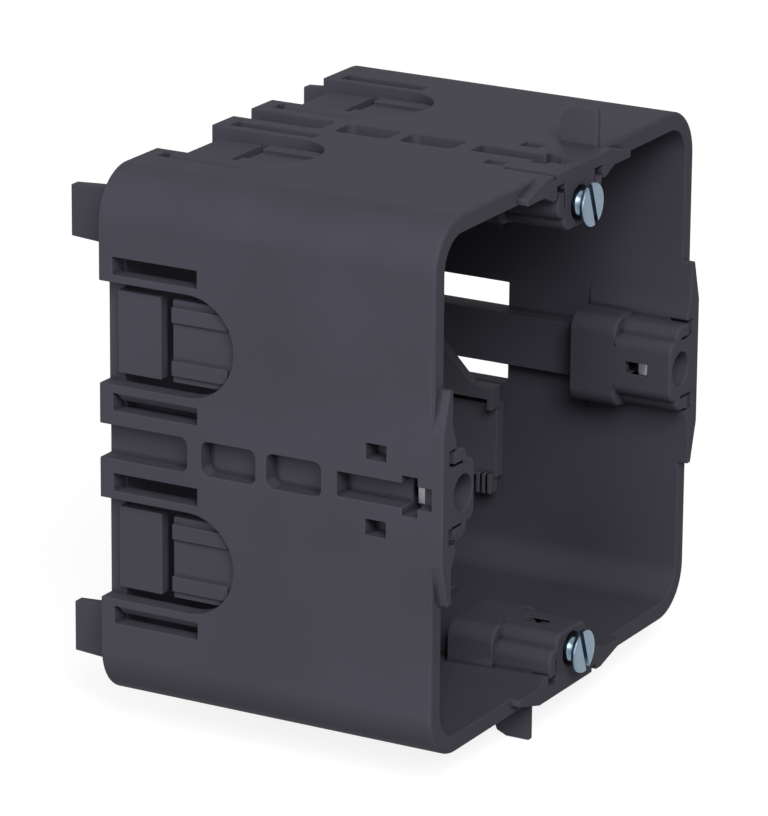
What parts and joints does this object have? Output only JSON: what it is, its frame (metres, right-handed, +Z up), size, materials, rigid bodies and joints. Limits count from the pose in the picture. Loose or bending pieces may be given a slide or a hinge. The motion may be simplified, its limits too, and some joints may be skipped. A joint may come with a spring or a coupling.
{
  "type": "flush mounting box",
  "caption": "Square flush mounting box for a wiring device, with screw bosses, knock-out cable entries and a cable clamp.",
  "frame": {"origin": "centre of the open front, in the plane of the four boss faces that the device plate is screwed to", "axes": "+X to the right and +Z up as seen from the open front, +Y into the box towards its closed back"},
  "size_m": [0.0712, 0.059, 0.0804],
  "materials": {
    "box_plastic": "moulded, fine satin",
    "clamp_plastic": "moulded, fine satin",
    "nut_metal": "bright zinc plate",
    "screw_metal": "blue zinc plate"
  },
  "bodies": {
    "box": {"housing": "box_plastic", "cable_clamp": "clamp_plastic", "nut_left": "nut_metal", "nut_top": "nut_metal", "nut_right": "nut_metal", "nut_bottom": "nut_metal"},
    "screw_top": {"screw_top": "screw_metal"},
    "screw_bottom": {"screw_bottom": "screw_metal"}
  },
  "joints": [
    {"name": "screw_top_slide", "type": "slide", "parent": "box", "child": "screw_top", "axis": [0, -1, 0], "range_m": [-0.0008, 0.007]},
    {"name": "screw_bottom_slide", "type": "slide", "parent": "box", "child": "screw_bottom", "axis": [0, -1, 0], "range_m": [-0.0008, 0.007]}
  ]
}
